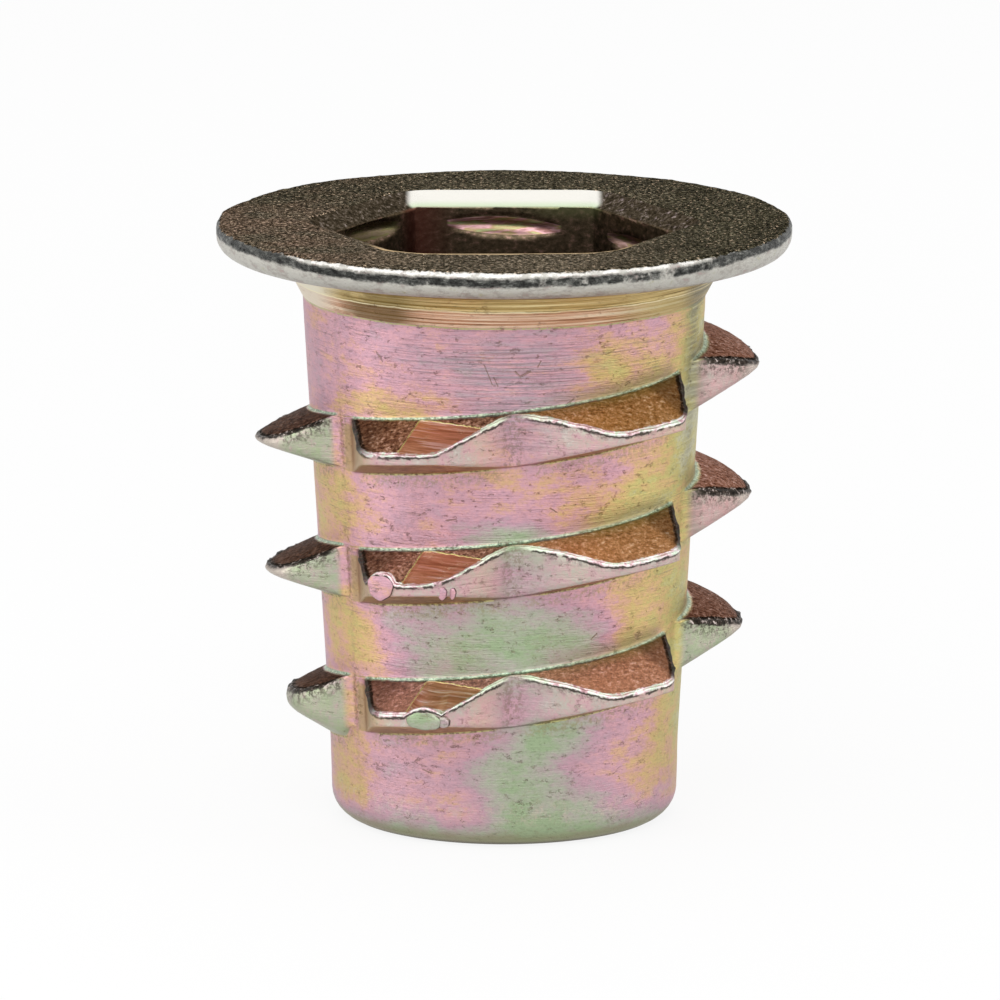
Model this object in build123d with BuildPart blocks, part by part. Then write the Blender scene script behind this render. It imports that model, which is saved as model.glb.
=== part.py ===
from build123d import *
from math import cos, radians, sin, tan
import os

# Flanged threaded insert: a one-piece zinc casting that is screwed into a hole in timber.
# The axis is +Z, the origin is the centre of the nose face, and the flange is at the top.
# Bearings are degrees about the axis, counted from the front (-Y) towards the right (+X).
# All sizes are in millimetres.

# Overall
total_height = 15.0
flange_diameter = 14.3
flange_thickness = 0.73
rim_top_chamfer = 0.18
rim_bottom_chamfer = 0.32
neck_fillet = 1.05

# Core: a nearly straight pilot nose, then a shank that widens up to the neck
nose_diameter = 8.54
nose_length = 2.0
nose_taper = 1.6
nose_round = 0.70
shank_taper = 3.4

# Hex key socket with its lead-in chamfer, and the tapped bore below it
socket_flats = 7.6
socket_depth = 5.0
mouth_flats = 8.8
mouth_corner_radius = 4.85
mouth_chamfer_depth = 0.38
bore_diameter = 6.8
bore_chamfer = 0.15

# External ridge: one coarse right-hand helix, a blunt V in section, with a low lead-in at the nose
pitch = 3.3
ridge_height = 1.44
lead_in_height = 0.94
ridge_start_height = 2.18
ridge_embed = 0.60

# Section of the ridge: root width, slopes of the top and bottom flanks, and rise of its middle.
# The side slides of the mould sit a little higher than the front and back ones.
face_section = (1.385, 24.7, 17.7, 0.0)
side_section = (1.315, 20.2, 20.0, 0.083)

# Scallops that the mould leaves over half a turn, the same on the other half:
# bearings where each lobe leaves the core, reaches full height, leaves it, and is down again
notch_bearing = 2.5
left_lobe = (-52.0, -34.5, -15.5, notch_bearing)
right_lobe = (notch_bearing, 26.5, 45.6, 63.0)
side_lobe = (68.0, 93.5, 105.5, 121.0)
notch_height = 0.10
gap_depth = 0.06

# Derived sizes
nose_radius = nose_diameter / 2
flange_radius = flange_diameter / 2
flange_underside = total_height - flange_thickness
shank_base_radius = nose_radius + nose_length * tan(radians(nose_taper))
bore_radius = bore_diameter / 2
socket_floor = total_height - socket_depth
side_gap = (right_lobe[-1] + side_lobe[0]) / 2
face_gap = (side_lobe[-1] + left_lobe[0] + 180) / 2
ridge_room = flange_underside - neck_fillet - face_section[0] / 2 - ridge_start_height
half_turns = int(2 * ridge_room / pitch)

# How near to a height an edge lies to count as being at it
level_margin = 0.01


def shank_radius(height):
    """Radius of the widening shank, also past its two ends."""
    return shank_base_radius + (height - nose_length) * tan(radians(shank_taper))


def at_bearing(radius, bearing):
    """Point in plan at a radius and a bearing from the front."""
    return (radius * sin(radians(bearing)), -radius * cos(radians(bearing)))


def hexagon(across_flats):
    """Hexagon with two flats parallel to X."""
    return RegularPolygon(across_flats / 2, 6, major_radius=False)


def circles_at(part, height):
    """Round edges of the part at one height, the smallest first."""
    circles = part.edges().filter_by(GeomType.CIRCLE)
    level = circles.filter_by_position(Axis.Z, height - level_margin, height + level_margin)
    return level.sort_by(SortBy.RADIUS)


def crest_arc(radius, first, last):
    """Arc of the crest between two bearings."""
    middle = (first + last) / 2
    ThreePointArc(at_bearing(radius, first), at_bearing(radius, middle), at_bearing(radius, last))


def lobe(low_start, crest, low_end, bearings):
    """One lobe of the outline: a straight cut up, the round crest and a straight cut down."""
    start, rise, fall, end = bearings
    Line(at_bearing(low_start, start), at_bearing(crest, rise))
    crest_arc(crest, rise, fall)
    Line(at_bearing(crest, fall), at_bearing(low_end, end))


def plan_outline(height, crest_height):
    """Scalloped outline of the ridge at one height: lobes, notches and gaps round the core."""
    core = shank_radius(height)
    crest = core + crest_height
    low = core - gap_depth
    notch = core + notch_height
    with BuildSketch(Plane.XY.offset(height)) as outline:
        with BuildLine():
            for turned in (0, 180):
                left = [bearing + turned for bearing in left_lobe]
                right = [bearing + turned for bearing in right_lobe]
                side = [bearing + turned for bearing in side_lobe]
                lobe(low, crest, notch, left)
                lobe(notch, crest, low, right)
                Line(at_bearing(low, right[-1]), at_bearing(low, side[0]))
                lobe(low, crest, low, side)
                Line(at_bearing(low, side[-1]), at_bearing(low, left[0] + 180))
        make_face()
    return outline.sketch


def mould(crest_height):
    """Inside of the mould that bounds the ridge: the plan outline, drafted along the axis."""
    with BuildPart() as inside:
        loft([plan_outline(0, crest_height), plan_outline(total_height, crest_height)])
    return inside.part


def ridge(first_bearing, last_bearing, section, bounds):
    """One stretch of the helical ridge between two bearings, within the bounds of the mould."""
    root_width, top_slope, bottom_slope, rise = section
    turned = first_bearing - notch_bearing + 180
    first_height = ridge_start_height + rise + pitch * turned / 360
    climb = pitch * (last_bearing - first_bearing) / 360
    top_drop = tan(radians(top_slope))
    bottom_rise = tan(radians(bottom_slope))
    apex = root_width / (top_drop + bottom_rise)
    with BuildPart() as stretch:
        with BuildLine() as helix_line:
            Helix(pitch, climb, shank_radius(first_height), (0, 0, first_height), cone_angle=shank_taper)
        path = helix_line.line.rotate(Axis.Z, first_bearing - 90)
        outward = at_bearing(1, first_bearing)
        along = at_bearing(1, first_bearing + 90)
        with BuildSketch(Plane(path @ 0, x_dir=(*outward, 0), z_dir=(*along, 0))):
            with BuildLine():
                Polyline(
                    (-ridge_embed, root_width / 2 + ridge_embed * bottom_rise),
                    (-ridge_embed, -root_width / 2 - ridge_embed * top_drop),
                    (apex, apex * top_drop - root_width / 2),
                    close=True,
                )
            make_face()
        sweep(path=path, is_frenet=True)
        add(bounds, mode=Mode.INTERSECT)
    return stretch.part


# The ridge, half-turn by half-turn from notch to notch; the first lobes are the low lead-in
full_mould = mould(ridge_height)
lead_in_mould = mould(lead_in_height)
stretches = []
for half_turn in range(half_turns):
    turned = 180 * (half_turn - 1)
    first_mould = full_mould if half_turn else lead_in_mould
    stretches += [
        ridge(notch_bearing + turned, side_gap + turned, face_section, first_mould),
        ridge(side_gap + turned, face_gap + turned, side_section, first_mould),
        ridge(face_gap + turned, notch_bearing + 180 + turned, face_section, full_mould),
    ]

# Lead-in chamfer of the socket's mouth, with its corners cut round
with BuildPart() as mouth_chamfer:
    with BuildSketch(Plane.XY.offset(total_height)) as mouth_edge:
        hexagon(mouth_flats)
    with BuildSketch(Plane.XY.offset(total_height - mouth_chamfer_depth)) as mouth_foot:
        hexagon(socket_flats)
    loft([mouth_edge.sketch, mouth_foot.sketch])
    with Locations((0, 0, total_height)):
        Cylinder(mouth_corner_radius, 2 * mouth_chamfer_depth, mode=Mode.INTERSECT)

with BuildPart() as threaded_insert:
    # Turned outside form of the core and flange
    with BuildSketch(Plane.XZ):
        with BuildLine():
            Polyline(
                (0, 0),
                (nose_radius, 0),
                (shank_base_radius, nose_length),
                (shank_radius(flange_underside), flange_underside),
                (flange_radius, flange_underside),
                (flange_radius, total_height),
                (0, total_height),
                close=True,
            )
        make_face()
    revolve(axis=Axis.Z)

    # Rounded nose and neck, and the eased edges of the flange
    fillet(circles_at(threaded_insert, 0), nose_round)
    fillet(circles_at(threaded_insert, flange_underside)[0], neck_fillet)
    chamfer(circles_at(threaded_insert, flange_underside)[-1], rim_bottom_chamfer)
    chamfer(circles_at(threaded_insert, total_height), rim_top_chamfer)

    # External ridge
    add(stretches)

    # Key socket, sunk from the top
    with BuildSketch(Plane.XY.offset(total_height)):
        hexagon(socket_flats)
    extrude(amount=-socket_depth, mode=Mode.SUBTRACT)
    add(mouth_chamfer.part, mode=Mode.SUBTRACT)

    # Tapped bore through the nose, with a small chamfer where it leaves
    with Locations((0, 0, socket_floor)):
        Hole(bore_radius)
    chamfer(circles_at(threaded_insert, 0)[0], bore_chamfer)

threaded_insert.part.label = "threaded_insert"

os.makedirs("parts", exist_ok=True)
export_step(threaded_insert.part, "parts/threaded_insert.step")
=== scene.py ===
from itertools import product
from math import cos, pi, radians, sin, sqrt, tan

import bmesh
import bpy
import numpy as np
from mathutils import Matrix, Vector


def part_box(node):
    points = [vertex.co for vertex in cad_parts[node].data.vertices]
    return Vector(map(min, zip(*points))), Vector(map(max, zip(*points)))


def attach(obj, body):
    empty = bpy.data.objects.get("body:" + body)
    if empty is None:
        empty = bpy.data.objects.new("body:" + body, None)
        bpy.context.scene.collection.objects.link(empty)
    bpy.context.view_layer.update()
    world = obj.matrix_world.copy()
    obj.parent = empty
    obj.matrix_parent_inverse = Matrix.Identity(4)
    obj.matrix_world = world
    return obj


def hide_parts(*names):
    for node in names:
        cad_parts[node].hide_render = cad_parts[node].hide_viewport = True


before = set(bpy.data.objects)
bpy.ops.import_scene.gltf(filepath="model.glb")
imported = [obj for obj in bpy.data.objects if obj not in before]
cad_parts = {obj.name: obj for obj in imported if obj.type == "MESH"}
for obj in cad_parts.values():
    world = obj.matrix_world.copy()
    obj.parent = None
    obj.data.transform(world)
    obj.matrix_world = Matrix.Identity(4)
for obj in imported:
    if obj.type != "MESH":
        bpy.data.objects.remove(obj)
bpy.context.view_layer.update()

# Looks of the flanged threaded insert: one zinc casting under yellow chromate, dressed with its
# rough edges, casting marks, tapped thread and iridescent film.
# Sizes are in millimetres until a mesh is written. Bearings are degrees about the axis from the
# front (-Y) towards the right (+X).
MM = 0.001
NODE = "threaded_insert"
_, high_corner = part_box(NODE)
total_height = high_corner[2] / MM
flange_radius = high_corner[0] / MM

# Core and flange
flange_thickness = 0.73
flange_underside = total_height - flange_thickness
flange_dip = 0.015
rim_round = 0.42
rim_bevel_width = 0.15
rim_bevel_height = 0.13
neck_fillet = 1.05
neck_foot = 13.17
neck_pulls = ((5.20, 13.50), (5.45, flange_underside))
gold_foot = 13.60
nose_radius = 4.27
nose_length = 2.0
nose_taper = radians(1.6)
nose_round = 0.70
shank_taper = radians(3.4)
shank_base = nose_radius + nose_length * tan(nose_taper)

# Socket and tapped bore
mouth_apothem = 4.34
mouth_limit = 4.80
mouth_wear_limit = 5.02
socket_apothem = 3.8
mouth_depth = 0.38
mouth_foot = total_height - mouth_depth
mouth_corner = 0.45
socket_corner = 0.12
socket_floor = total_height - 5.0
bore_radius = 3.4
bore_chamfer = 0.15
thread_pitch = 1.25
thread_root = 4.07
thread_root_flat = 0.08
thread_bearing = 180.0
thread_height = 14.14
thinnest_wall = 0.25
# Rows over one turn of the thread, as shares of its pitch
thread_rows = (0.0, 0.064, 0.14, 0.215, 0.30, 0.374, 0.44, 0.5, 0.56, 0.626, 0.70, 0.785, 0.86, 0.936)

# Ridge
pitch = 3.3
ridge_start = 2.18
full_height = 1.44
lead_in_height = 0.94
notch = 2.5
notch_height = 0.10
gap_depth = 0.06
side_gap = 65.5
face_gap = 124.5
side_rise = 0.083
turns = 3
# Root width, slope of the top flank and slope of the bottom flank, for face and side lobes
face_section = (1.385, radians(24.7), radians(17.7))
side_section = (1.315, radians(24.0), radians(20.0))
# Bearing over half a turn and height; low stands for the bare core
outline = (
    (2.5, "notch"), (26.5, "crest"), (45.6, "crest"), (63.0, "low"),
    (68.0, "low"), (92.0, "crest"), (110.0, "crest"), (123.0, "low"),
    (128.0, "low"), (145.5, "crest"), (164.5, "crest"), (182.5, "notch"),
)
# Wear of the outline's corners: steps either way in degrees, with their shares
corner_wear = ((-3.2, 0.10), (-1.6, 0.24), (0.0, 0.32), (1.6, 0.24), (3.2, 0.10))
side_wear = 2.0
side_swell = 0.10
side_crest_gain = 0.09
facet_start = 155.0
facet_end = 175.4
facet_step = 0.035
heavy_foot = 0.28
# Lobes that the mould filled a little more or less, by bearing from the start of the ridge
uneven_lobes = (
    (-80.5, 1.04), (279.5, 0.93), (639.5, 0.97),
    (99.5, 1.04), (459.5, 1.04), (819.5, 1.05),
    (335.0, 0.97), (-25.0, 0.96), (36.0, 1.02),
)
lobe_half_width = 29
# Domes that lift the crest over the disc and the bead: bearing, lift and half width in degrees
crest_domes = (
    (329.8, 0.30, 3.9),
    (-20.2, 0.17, 4.6),
)
# Discs and beads on the ridge: bearing, height, stand out of the core, half width, half height,
# depth behind the face, swell of the face and change of the film
lumps = (
    ("disc_mark", -30.2, 6.83, 1.425, 0.36, 0.34, 0.12, 0.010, 0.02),
    ("burr_large", -14.9, 6.76, 1.28, 0.11, 0.17, 0.3, 0.04, 0.05),
    ("burr_small", -12.7, 6.74, 1.14, 0.08, 0.15, 0.3, 0.03, 0.0),
    ("bead", -20.0, 3.52, 1.36, 0.46, 0.25, 0.4, 0.05, 0.44),
    ("bead_end", -15.2, 3.50, 1.31, 0.16, 0.15, 0.4, 0.06, 0.30),
)

# Patches of the film by bearing, height, half width in degrees, half height and change of thickness
film_patches = (
    (-4.0, 5.2, 26.0, 0.9, 0.42),
    (26.0, 5.6, 10.0, 0.7, 0.20),
    (4.0, 1.5, 9.0, 0.8, 0.30),
    (-8.0, 1.9, 8.0, 0.35, 0.20),
    (16.0, 2.8, 9.0, 0.4, 0.24),
    (24.0, 1.1, 16.0, 0.6, 0.28),
    (0.0, 0.2, 80.0, 0.42, 0.34),
    (180.0, 0.2, 80.0, 0.42, 0.30),
    (24.0, 7.2, 24.0, 0.35, 0.20),
    (2.0, 7.9, 10.0, 0.3, 0.34),
    (44.0, 8.2, 13.0, 0.7, -0.22),
    (-40.0, 10.9, 16.0, 0.4, -0.14),
    (-62.0, 8.6, 12.0, 1.1, -0.08),
    (-22.0, 3.0, 20.0, 0.6, -0.06),
    (-6.0, 11.6, 30.0, 0.9, 0.06),
    (-22.0, 4.2, 14.0, 0.4, 0.22),
    (38.0, 11.6, 16.0, 0.9, -0.24),
    (50.0, 9.0, 12.0, 1.0, -0.16),
    (45.0, 5.6, 16.0, 1.2, -0.26),
    (48.0, 2.3, 14.0, 1.3, -0.20),
    (-62.0, 5.2, 16.0, 0.9, -0.26),
    (-66.0, 1.5, 15.0, 1.6, -0.22),
    (-38.0, 4.5, 14.0, 0.5, -0.16),
    (-34.0, 11.2, 14.0, 0.6, -0.10),
    (-75.0, 8.6, 13.0, 1.4, -0.14),
    (-66.0, 12.0, 14.0, 1.4, 0.03),
    (78.0, 12.2, 15.0, 2.4, -0.36),
    (30.0, 12.2, 5.0, 0.25, -0.16),
    (34.0, 8.0, 12.0, 0.35, -0.10),
    (78.0, 7.0, 17.0, 3.5, -0.32),
    (84.0, 2.0, 14.0, 2.0, -0.20),
    (20.0, 2.9, 22.0, 0.7, 0.18),
    (150.0, 4.8, 34.0, 1.2, 0.38),
    (205.0, 2.0, 30.0, 1.4, 0.36),
    (175.0, 8.6, 34.0, 0.9, -0.24),
    (228.0, 10.8, 24.0, 1.4, -0.20),
    (120.0, 2.2, 22.0, 1.6, -0.22),
    (245.0, 5.5, 24.0, 1.5, 0.26),
)
# Worn places with drawn grey streaks: the same, with the wear
worn_patches = (
    (5.0, 11.7, 17.0, 0.95, 1.0),
    (-8.0, 12.4, 20.0, 0.3, 0.5),
    (196.0, 9.0, 22.0, 0.8, 0.8),
    (130.0, 12.0, 18.0, 0.7, 0.7),
)

# Marks of a place that is nowhere near the ridge
far = 9.0
no_ridge = {"crest": far, "root": far, "foot": far, "facet": -far, "under": -far, "stand": -gap_depth}
mark_limit = 3.0


def smooth_step(low, high, value):
    """0 below low, 1 above high, and smooth between."""
    share = np.clip((value - low) / (high - low), 0.0, 1.0)
    return share * share * (3.0 - 2.0 * share)


def window(value, opening, closing):
    """0, then 1, then 0 again, changing smoothly over the two given ranges."""
    return smooth_step(*opening, value) * (1 - smooth_step(*closing, value))


def smooth_min(first, second, width):
    """The smaller of two values, rounded where they meet."""
    share = np.clip(0.5 + 0.5 * (second - first) / width, 0.0, 1.0)
    return second * (1.0 - share) + first * share - width * share * (1.0 - share)


def smooth_max(first, second, width):
    """The larger of two values, rounded where they meet."""
    return -smooth_min(-first, -second, width)


def between(first, last, shares):
    """Values at the given shares of the way from the first to the last."""
    return [first + (last - first) * share for share in shares]


def half_turn(bearing):
    """Bearing brought into the half turn that starts at the notch."""
    return (bearing - notch) % 180 + notch


def from_line(bearing, line):
    """Degrees either way from the nearer of a line and the one opposite."""
    return (bearing - line + 90) % 180 - 90


def value_noise(x, y, z, size, seed):
    """Smooth noise between -1 and 1 whose cells have the given size."""
    points = np.stack([x, y, z], axis=-1) / size
    cell = np.floor(points)
    share = points - cell
    share = share * share * (3.0 - 2.0 * share)
    total = np.zeros(points.shape[:-1])
    for corner in product((0, 1), repeat=3):
        key = (cell + corner) @ np.array([127.1, 311.7, 74.7]) + seed * 17.3
        spread = np.sin(key) * 43758.5453
        value = (spread - np.floor(spread)) * 2.0 - 1.0
        weight = np.prod(np.where(corner, share, 1.0 - share), axis=-1)
        total += value * weight
    return total


def surface_noise(bearing, radius, height, size, seed):
    """Noise at a place on the part given by bearing, radius and height."""
    angle = np.radians(bearing)
    return value_noise(radius * np.sin(angle), -radius * np.cos(angle), height, size, seed)


def shank_radius(height):
    """Radius of the widening shank."""
    return shank_base + (height - nose_length) * tan(shank_taper)


def core_radius(height):
    """Radius of the core between the nose round and the neck."""
    nose = nose_radius + height * tan(nose_taper)
    return np.where(height < nose_length, nose, shank_radius(height))


def columns(spacing, corners, start):
    """Bearings over one turn from start, about evenly spaced and with one on each corner."""
    fixed = sorted({start, *[start + (corner - start) % 360 for corner in corners]}) + [start + 360]
    found = []
    for first, last in zip(fixed, fixed[1:]):
        count = max(1, round((last - first) / spacing))
        found += [first + (last - first) * step / count for step in range(count)]
    return np.array(found)


# The ridge

def lobe_scale(bearing):
    """Share of its height that a lobe reaches."""
    scale = np.ones_like(bearing)
    for middle, share in uneven_lobes:
        scale = np.where(abs(bearing - middle) < lobe_half_width, share, scale)
    return scale


def sharp_height(bearing, core):
    """How far the ridge would stand out of the core at a bearing if its corners were sharp."""
    local = half_turn(bearing)
    low_start = (bearing < notch) & (local < face_gap)
    crest = np.where(low_start, lead_in_height, full_height) * lobe_scale(bearing)
    level = {"notch": notch_height, "crest": crest, "low": -gap_depth}
    found = np.full_like(local, -gap_depth)
    for (first, first_kind), (last, last_kind) in zip(outline, outline[1:]):
        start = core + level[first_kind]
        end = core + level[last_kind]
        inside = (local >= first) & (local <= last)
        radius = start
        if first_kind != last_kind:
            # A straight cut between the two corners
            along = np.radians(local - first)
            back = np.radians(last - local)
            span = sin(radians(last - first))
            with np.errstate(divide="ignore", invalid="ignore"):
                radius = start * end * span / (start * np.sin(along) + end * np.sin(back))
        found = np.where(inside, radius - core, found)
    return found


def ridge_height(bearing, height):
    """How far the worn ridge stands out of the core at a continuous bearing and a height."""
    core = shank_radius(height)
    local = half_turn(bearing)
    spread = 1.0 + (side_wear - 1.0) * window(local, (70, 80), (112, 120))
    # The notches stay sharper than the other corners
    spread = spread * (0.35 + 0.65 * smooth_step(3, 14, np.abs(from_line(local, notch))))
    return sum(share * sharp_height(bearing + spread * step, core) for step, share in corner_wear)


def ridge_section(bearing):
    """Root width, tangents of the two slopes and middle height of the ridge at a bearing."""
    side = window(half_turn(bearing), (side_gap - 2, side_gap + 2), (face_gap - 2, face_gap + 2))
    width = face_section[0] + (side_section[0] - face_section[0]) * side
    top = tan(face_section[1]) + (tan(side_section[1]) - tan(face_section[1])) * side
    bottom = tan(face_section[2]) + (tan(side_section[2]) - tan(face_section[2])) * side
    middle = ridge_start + side_rise * side + pitch * (bearing - notch + 180) / 360
    # The first lobe on the left has a heavier foot
    foot = heavy_foot * window(bearing, (-116, -105), (-64, -58))
    return width + foot, top, bottom + foot * 0.9, middle - foot / 2


def crest_lift(bearing):
    """How far the crest is lifted at a continuous bearing."""
    lift = np.zeros_like(bearing)
    for middle, rise, half_width in crest_domes:
        across = np.clip(np.abs(bearing - middle) / half_width, 0, 1)
        lift = np.maximum(lift, rise * (1 - across ** 2) ** 0.7)
    return lift


def ridge_radius(bearing, height):
    """Radius of the surface at a height near one turn of the ridge, before its roughness."""
    width, top, bottom, middle = ridge_section(bearing)
    base = shank_radius(middle)
    side = window(half_turn(bearing), (70, 85), (115, 122))
    outer = core_radius(height) + ridge_height(bearing, middle) + side_crest_gain * side
    to_root = middle + width / 2 - height
    # The top flanks of the side lobes on the right are a little convex
    share = np.clip(to_root / (full_height * top), 0, 1)
    swell = side_swell * side * (bearing % 360 < 180) * 4 * share * (1 - share)
    lift = crest_lift(bearing) * smooth_step(0.05, 0.40, to_root) + swell
    above = base + (to_root + lift) / top
    below = base + (width / 2 + (height - middle)) / bottom
    # Side lobes are rounder than face lobes
    ridge = smooth_min(smooth_min(above, outer, 0.05 + 0.34 * side), below, 0.04 + 0.30 * side)
    return smooth_max(core_radius(height), ridge, 0.03)


# Meshes

class Column:
    """Rows of a surface of columns: each row has a radius and a height for every column."""

    def __init__(self, bearing):
        self.bearing = bearing
        self.rows = []

    def add(self, radius, height, **marks):
        """Adds a row; marks are named values that the materials read."""
        row = {"radius": radius, "height": height, **marks}
        self.rows.append({name: np.broadcast_to(value, self.bearing.shape) for name, value in row.items()})

    def field(self, name, default=0.0):
        """All the rows' values of one name as an array of rows by columns."""
        shape = self.bearing.shape
        return np.array([np.broadcast_to(row.get(name, default), shape) for row in self.rows], dtype=float)


def zip_seam(heights_left, heights_right, left, right):
    """Triangles between two columns of points whose heights differ."""
    triangles = []
    i = 0
    j = 0
    while i < len(left) - 1 or j < len(right) - 1:
        last_i = i == len(left) - 1
        last_j = j == len(right) - 1
        if last_j or (not last_i and heights_left[i + 1] <= heights_right[j + 1]):
            triangles.append((left[i], right[j], left[i + 1]))
            i += 1
        else:
            triangles.append((left[i], right[j], right[j + 1]))
            j += 1
    return triangles


def grid_faces(rows, count, skip_seam=()):
    """Quads of a grid that closes on itself; rows named in skip_seam stay open at the seam."""
    faces = []
    for row in range(rows - 1):
        for column in range(count):
            following = (column + 1) % count
            if following == 0 and row in skip_seam:
                continue
            below = row * count
            above = below + count
            faces.append((below + column, below + following, above + following, above + column))
    return faces


def add_piece(name, points, faces, marks, clean):
    """Piece from points in millimetres, with its marks as attributes; clean mends its mesh."""
    mesh = bpy.data.meshes.new(name)
    mesh.from_pydata([tuple(point) for point in np.asarray(points) * MM], [], faces)
    for mark, values in marks.items():
        layer = mesh.attributes.new(mark, "FLOAT", "POINT")
        layer.data.foreach_set("value", np.asarray(values, dtype=np.float32).reshape(-1))
    work = bmesh.new()
    work.from_mesh(mesh)
    clean(work)
    work.to_mesh(mesh)
    work.free()
    mesh.shade_smooth()
    piece = bpy.data.objects.new(name, mesh)
    bpy.context.scene.collection.objects.link(piece)
    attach(piece, "root")
    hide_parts(NODE)
    return piece


def weld(work):
    """Joins points of a skin that fall on each other."""
    bmesh.ops.remove_doubles(work, verts=work.verts, dist=0.0004 * MM)
    bmesh.ops.dissolve_degenerate(work, edges=work.edges, dist=0.0002 * MM)


def add_skin(name, radius, height, bearing, faces, marks):
    """Skin of the casting from a field of rows and columns."""
    angle = np.radians(np.broadcast_to(bearing, radius.shape))
    points = np.stack([radius * np.sin(angle), -radius * np.cos(angle), height], axis=-1)
    return add_piece(name, points.reshape(-1, 3), faces, marks, weld)


def fillet_arc(centre_radius, centre_height, radius, first, last, count):
    """Points of an arc in the section, from one angle to another, both ends included."""
    for step in range(count):
        angle = radians(first + (last - first) * step / (count - 1))
        yield centre_radius + radius * cos(angle), centre_height + radius * sin(angle)


# Outside of the core, with the ridge

def neck_end_radius():
    """Radius where the neck's fillet meets the flange's underside."""
    return shank_radius(flange_underside - neck_fillet) + neck_fillet / cos(shank_taper)


def neck_section():
    """Points of the neck's section, which leaves the shank at a crease and meets the flange."""
    start = (shank_radius(neck_foot), neck_foot)
    end = (neck_end_radius(), flange_underside)
    for share in np.linspace(0, 1, 15):
        rest = 1 - share
        weights = (rest ** 3, 3 * share * rest ** 2, 3 * share ** 2 * rest, share ** 3)
        pulls = (start, *neck_pulls, end)
        yield tuple(sum(weight * pull[axis] for weight, pull in zip(weights, pulls)) for axis in (0, 1))


def facet_mark(bearing, radius, out, on_flank):
    """How far inside the smooth cut facet beside a notch a place of the top flank lies."""
    local = half_turn(bearing)
    along = np.radians(local - facet_start) * radius
    share = np.clip((local - facet_start) / (facet_end - facet_start), 0, 1)
    edge = 0.02 + 0.50 * share ** 1.3
    inside = np.where(on_flank, np.minimum(along, out - edge), -far)
    return np.where(local > facet_end + 1, -far, inside)


def nose_rows(column):
    """Rows of the nose's end face and its round."""
    inner = bore_radius + bore_chamfer
    centre = nose_radius + nose_round * tan(nose_taper) - nose_round / cos(nose_taper)
    for radius in between(inner, centre, (0.0, 0.5)):
        column.add(radius, 0.0, **no_ridge)
    for radius, height in fillet_arc(centre, nose_round, nose_round, -90, -1.6, 9):
        column.add(radius, height, **no_ridge)


def turn_rows(column, turn, lower):
    """Rows of one turn of the ridge and the core below it; returns the turn's top and stand."""
    at = column.bearing + 360 * turn
    width, top, bottom, middle = ridge_section(at)
    stand = ridge_height(at, middle)
    proud = np.maximum(stand, 0.0)
    lean = tan(shank_taper)
    root_top = middle + width / 2 / (1 + lean * top)
    root_bottom = middle - width / 2 / (1 - lean * bottom)
    crest_top = middle + (width / 2 - proud * top) / (1 + lean * top)
    crest_bottom = middle - (width / 2 - proud * bottom) / (1 - lean * bottom)
    crest_row = np.minimum(crest_top + crest_lift(at), root_top - 0.10)
    land_row = np.maximum(crest_bottom, root_bottom + 0.06)
    # Core below this turn
    count = 15 if turn else 24
    heights = between(lower, root_bottom - 0.16, [step / (count + 1) for step in range(1, count + 1)])
    for height in [*heights, root_bottom - 0.10, root_bottom - 0.04]:
        above_root = height - lower if turn else far
        marks = {**no_ridge, "root": above_root, "foot": root_bottom - height, "stand": stand}
        column.add(core_radius(height), height, **marks)
    # Bottom flank, land and top flank
    heights = between(root_bottom, land_row, (0.0, 0.2, 0.45, 0.7, 0.9))
    heights += between(land_row, crest_row, (0.02, 0.14, 0.30, 0.47, 0.63, 0.78, 0.90, 0.97))
    heights += between(crest_row, root_top, (0.02, 0.07, 0.16, 0.28, 0.41, 0.55, 0.70, 0.84, 0.94, 1.0))
    for height in heights:
        radius = ridge_radius(at, height)
        out = radius - core_radius(height)
        on_flank = height > crest_row
        down_flank = np.hypot(height - crest_row, np.maximum(proud - out, 0))
        slant = np.where(on_flank, -down_flank, crest_row - height)
        facet = facet_mark(at, radius, out, on_flank)
        height = height - facet_step * smooth_step(0.0, 0.06, facet) * (height > crest_row + 0.01)
        column.add(radius, height, crest=slant, root=height - root_top, foot=root_bottom - height,
                   facet=facet, under=crest_bottom - height, stand=stand, ridge=1.0, tip=out - stand)
    return root_top, stand


def body_rows(bearing):
    """Rows of the outside from the nose to the flange, and where the shank's begin and end."""
    column = Column(bearing)
    nose_rows(column)
    shank_start = len(column.rows) - 1
    lower = np.full_like(bearing, nose_round)
    for turn in range(turns):
        lower, stand = turn_rows(column, turn, lower)
    for height in between(lower, neck_foot, [step / 25 for step in range(1, 25)]):
        column.add(core_radius(height), height, **{**no_ridge, "root": height - lower, "stand": stand})
    shank_end = len(column.rows)
    for radius, height in neck_section():
        column.add(radius, height, **no_ridge)
    return column, shank_start, shank_end


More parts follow.
